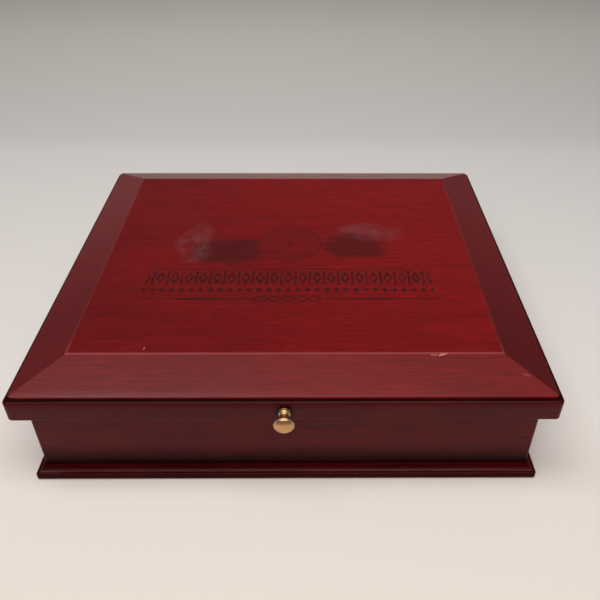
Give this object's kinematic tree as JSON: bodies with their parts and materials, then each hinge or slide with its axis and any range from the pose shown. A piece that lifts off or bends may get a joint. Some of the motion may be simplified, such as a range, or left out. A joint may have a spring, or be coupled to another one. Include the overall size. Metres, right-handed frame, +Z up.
{
  "type": "wooden presentation case for coins",
  "caption": "Low mitred wooden case on a moulded plinth, with an overhanging hinged lid, bevelled board, brass knob, magnet catches and lift-out coin trays.",
  "frame": {"origin": "centre of the felt underside, on the surface the case stands on", "axes": "+X to the right along the width, +Y from the knob at the front to the hinges at the back, +Z up"},
  "size_m": [0.318, 0.292, 0.082],
  "materials": {
    "cherry": "red-brown stained cherry under satin lacquer",
    "plinth_cherry": "dark red-brown stained cherry under satin lacquer",
    "plain_wood": "plain sanded wood",
    "velvet": "black velvet wrapped round board",
    "satin_lining": "cream padded satin",
    "ribbon": "dark red woven ribbon",
    "felt": "dark green felt",
    "brass": "polished, slightly dulled",
    "steel": "bright plated"
  },
  "bodies": {
    "case": {"front_wall": "cherry", "back_wall": "cherry", "left_wall": "cherry", "right_wall": "cherry", "case_corner_splines": "plain_wood", "bottom_panel": "plain_wood", "plinth_front": "plinth_cherry", "plinth_back": "plinth_cherry", "plinth_left": "plinth_cherry", "plinth_right": "plinth_cherry", "base_felt": "felt", "floor_lining": "velvet", "tray_runner_left": "plain_wood", "tray_runner_right": "plain_wood", "catch_magnets": "steel", "left_hinge_case_leaf": "brass", "left_hinge_pin": "brass", "right_hinge_case_leaf": "brass", "right_hinge_pin": "brass", "case_hinge_screws": "brass"},
    "lower_tray": {"lower_tray_floor": "velvet", "lower_tray_end_rims": "velvet", "lower_tray_side_rims": "velvet", "lower_tray_row_divider": "velvet", "lower_tray_column_dividers": "velvet", "lower_tray_ribbons": "ribbon"},
    "upper_tray": {"upper_tray_floor": "velvet", "upper_tray_end_rims": "velvet", "upper_tray_side_rims": "velvet", "upper_tray_row_dividers": "velvet", "upper_tray_column_dividers": "velvet", "upper_tray_ribbons": "ribbon"},
    "lid": {"lid_board": "cherry", "lid_rail_front": "cherry", "lid_rail_back": "cherry", "lid_rail_left": "cherry", "lid_rail_right": "cherry", "lid_corner_splines": "plain_wood", "lid_lining": "satin_lining", "catch_plates": "steel", "knob": "brass", "knob_screw": "steel", "left_hinge_lid_leaf": "brass", "right_hinge_lid_leaf": "brass", "lid_hinge_screws": "brass"}
  },
  "joints": [
    {"name": "lid_hinge", "type": "hinge", "parent": "case", "child": "lid", "pos_m": [0, 0.1335, 0.057], "axis": [-1, 0, 0], "range_deg": [0, 100]},
    {"name": "lower_tray_lift", "type": "slide", "parent": "case", "child": "lower_tray", "axis": [0, 0, 1], "range_m": [0, 0.005]},
    {"name": "upper_tray_lift", "type": "slide", "parent": "lower_tray", "child": "upper_tray", "axis": [0, 0, 1], "range_m": [0, 0.005]}
  ]
}
